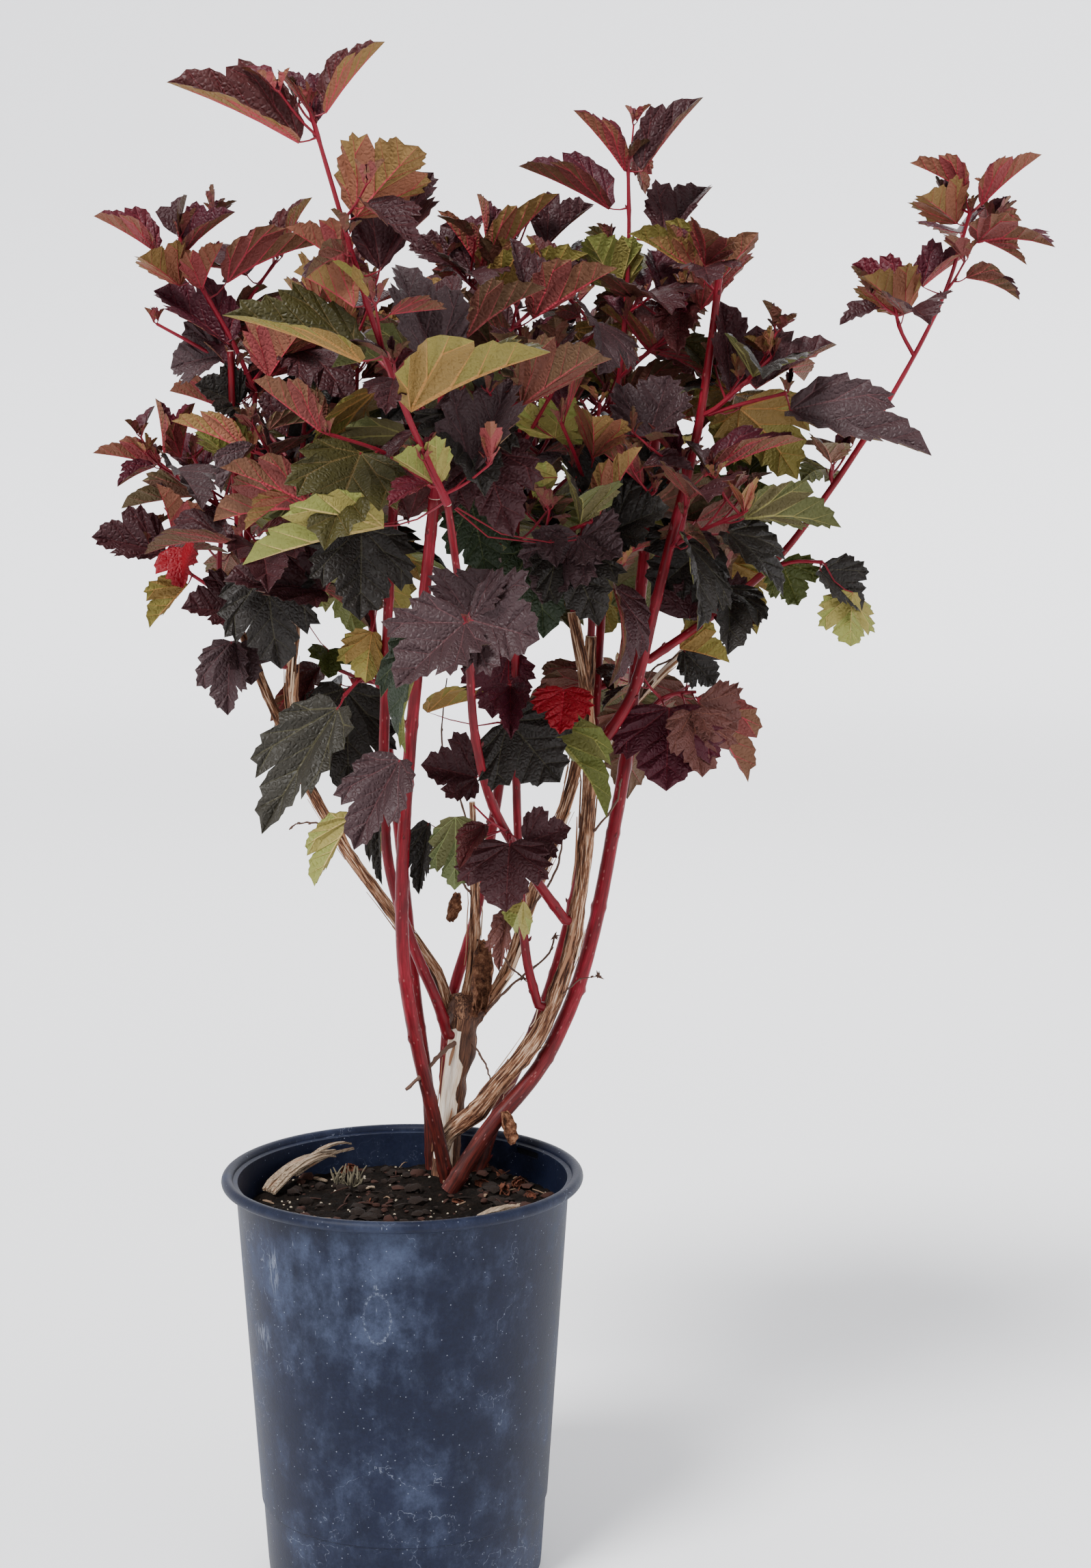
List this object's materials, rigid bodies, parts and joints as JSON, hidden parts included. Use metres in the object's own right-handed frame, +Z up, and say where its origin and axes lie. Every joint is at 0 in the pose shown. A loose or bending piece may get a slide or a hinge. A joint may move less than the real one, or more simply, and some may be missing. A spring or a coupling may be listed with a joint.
{
  "type": "potted ninebark shrub",
  "caption": "Deciduous ninebark shrub with upright red and brown canes and dark purple lobed leaves, growing in a round black nursery pot.",
  "frame": {"origin": "middle of the pot's flat underside", "axes": "+Z up; -Y is the side seen in the picture; +X to the picture's right"},
  "size_m": [0.7165, 0.6359, 1.1455],
  "materials": {
    "pot": "matt black, dusty",
    "soil": "rough, crumbly",
    "bark_red": "smooth, satin",
    "bark_brown": "rough, peeling",
    "bark_pale": "bare wood",
    "leaf_dark": "satin leaf",
    "leaf_wine": "satin leaf",
    "leaf_green": "satin leaf"
  },
  "bodies": {
    "root": {"bough_brown_left": "bark_brown", "bough_brown_rear": "bark_brown", "bough_brown_right": "bark_brown", "bough_left_fork": "bark_brown", "branch_dead_right": "bark_pale", "cane_back_left": "bark_red", "cane_back_right": "bark_red", "cane_centre": "bark_red", "cane_centre_rear": "bark_red", "cane_far_right": "bark_red", "cane_front_left": "bark_red", "cane_left_cut": "bark_red", "cane_left_inner": "bark_red", "cane_left_leafy": "bark_red", "cane_right": "bark_red", "cane_right_long": "bark_red", "cane_tall_front": "bark_red", "cane_top_right": "bark_red", "foliage_back_left": "leaf_dark", "foliage_back_low_left": "leaf_dark", "foliage_back_low_right": "leaf_dark", "foliage_back_right": "leaf_dark", "foliage_centre": "leaf_dark", "foliage_centre_low": "leaf_dark", "foliage_centre_rear": "leaf_dark", "foliage_far_right": "leaf_wine", "foliage_far_right_low": "leaf_green", "foliage_far_right_middle": "leaf_dark", "foliage_front": "leaf_dark", "foliage_hanging_centre": "leaf_dark", "foliage_hanging_left": "leaf_green", "foliage_left_fork": "leaf_dark", "foliage_left_inner": "leaf_dark", "foliage_left_low": "leaf_dark", "foliage_left_side": "leaf_dark", "foliage_left_top": "leaf_wine", "foliage_lobed_left": "leaf_green", "foliage_low_front": "leaf_dark", "foliage_right_front": "leaf_dark", "foliage_right_inner": "leaf_dark", "foliage_right_low": "leaf_dark", "foliage_right_middle": "leaf_dark", "foliage_right_rear": "leaf_green", "foliage_right_spray": "leaf_dark", "foliage_right_top": "leaf_dark", "foliage_tall_front": "leaf_wine", "foliage_top_right": "leaf_wine", "pot": "pot", "soil": "soil", "stub_dead": "bark_brown", "stump": "bark_pale"}
  },
  "joints": []
}
